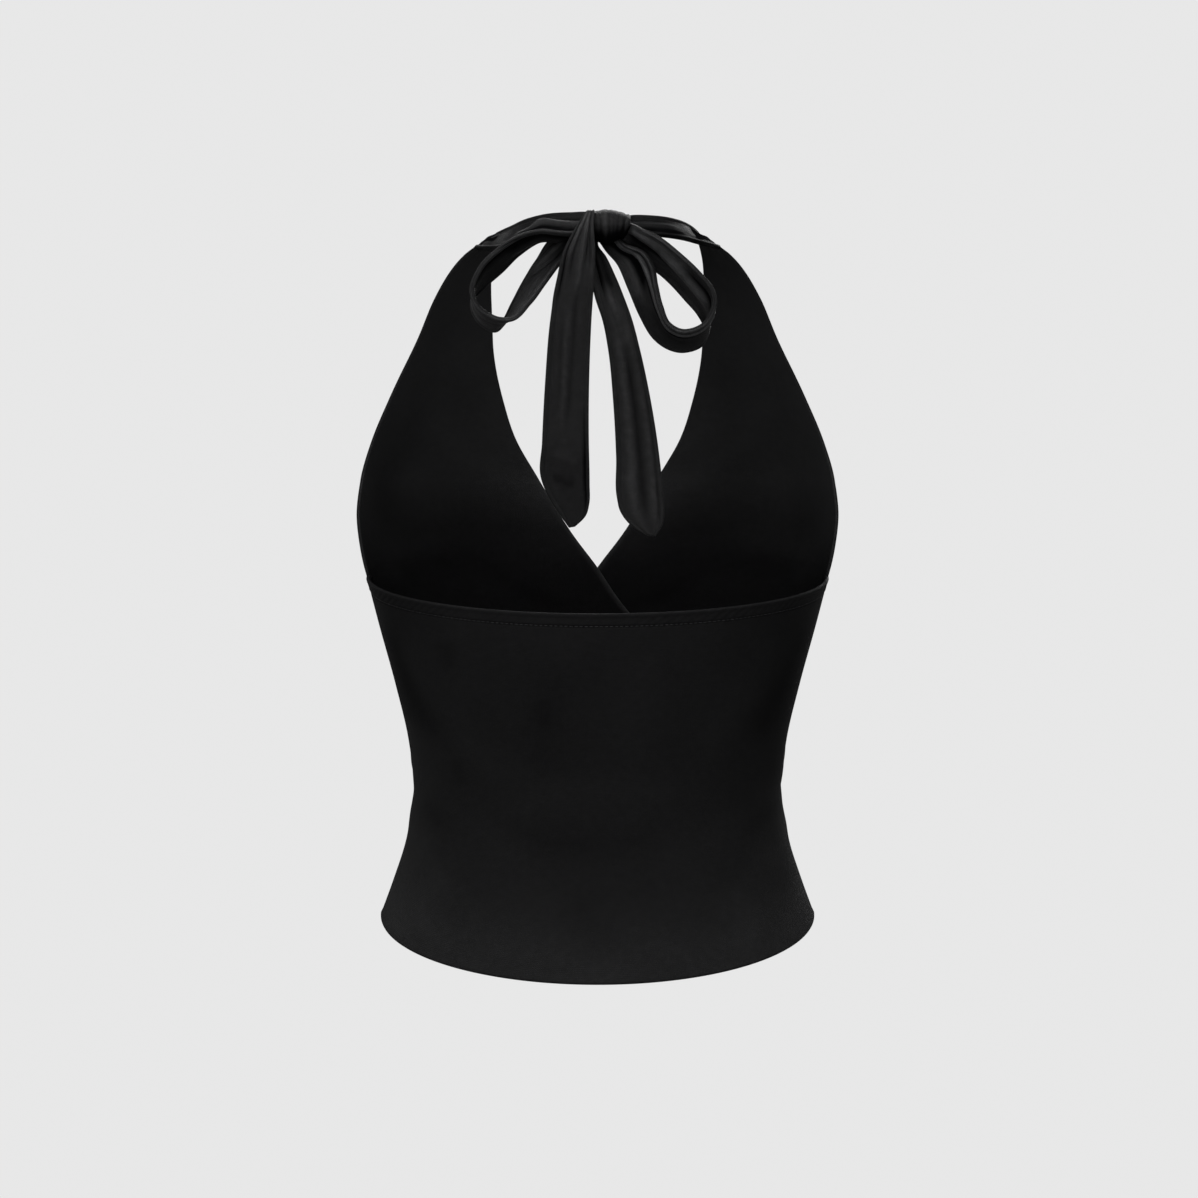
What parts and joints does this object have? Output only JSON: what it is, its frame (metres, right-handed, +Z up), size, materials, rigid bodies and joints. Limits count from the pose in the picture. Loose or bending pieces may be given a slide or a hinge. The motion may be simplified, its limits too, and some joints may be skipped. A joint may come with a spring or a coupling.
{
  "type": "halter neck top",
  "caption": "Fitted black jersey halter neck top in its worn, hollow form: crossed front panels rise to neck ties bowed at the nape, with a low straight back.",
  "frame": {"origin": "the nape: where the back of the neck meets the inner face of the knot, which holds the top up", "axes": "+Z up, +Y out of the wearer's back, +X to the wearer's left; the front faces -Y"},
  "size_m": [0.3018, 0.2418, 0.4621],
  "materials": {
    "body_jersey": "soft matte knit",
    "halter_jersey": "soft matte knit",
    "tie_jersey": "soft satin knit"
  },
  "bodies": {
    "root": {"back_panel": "body_jersey", "front_waist": "body_jersey", "front_left_halter": "halter_jersey", "front_right_halter": "halter_jersey", "left_neck_tie": "tie_jersey", "right_neck_tie": "tie_jersey", "knot": "tie_jersey", "left_loop": "tie_jersey", "right_loop": "tie_jersey", "left_tail": "tie_jersey", "right_tail": "tie_jersey"}
  },
  "joints": []
}
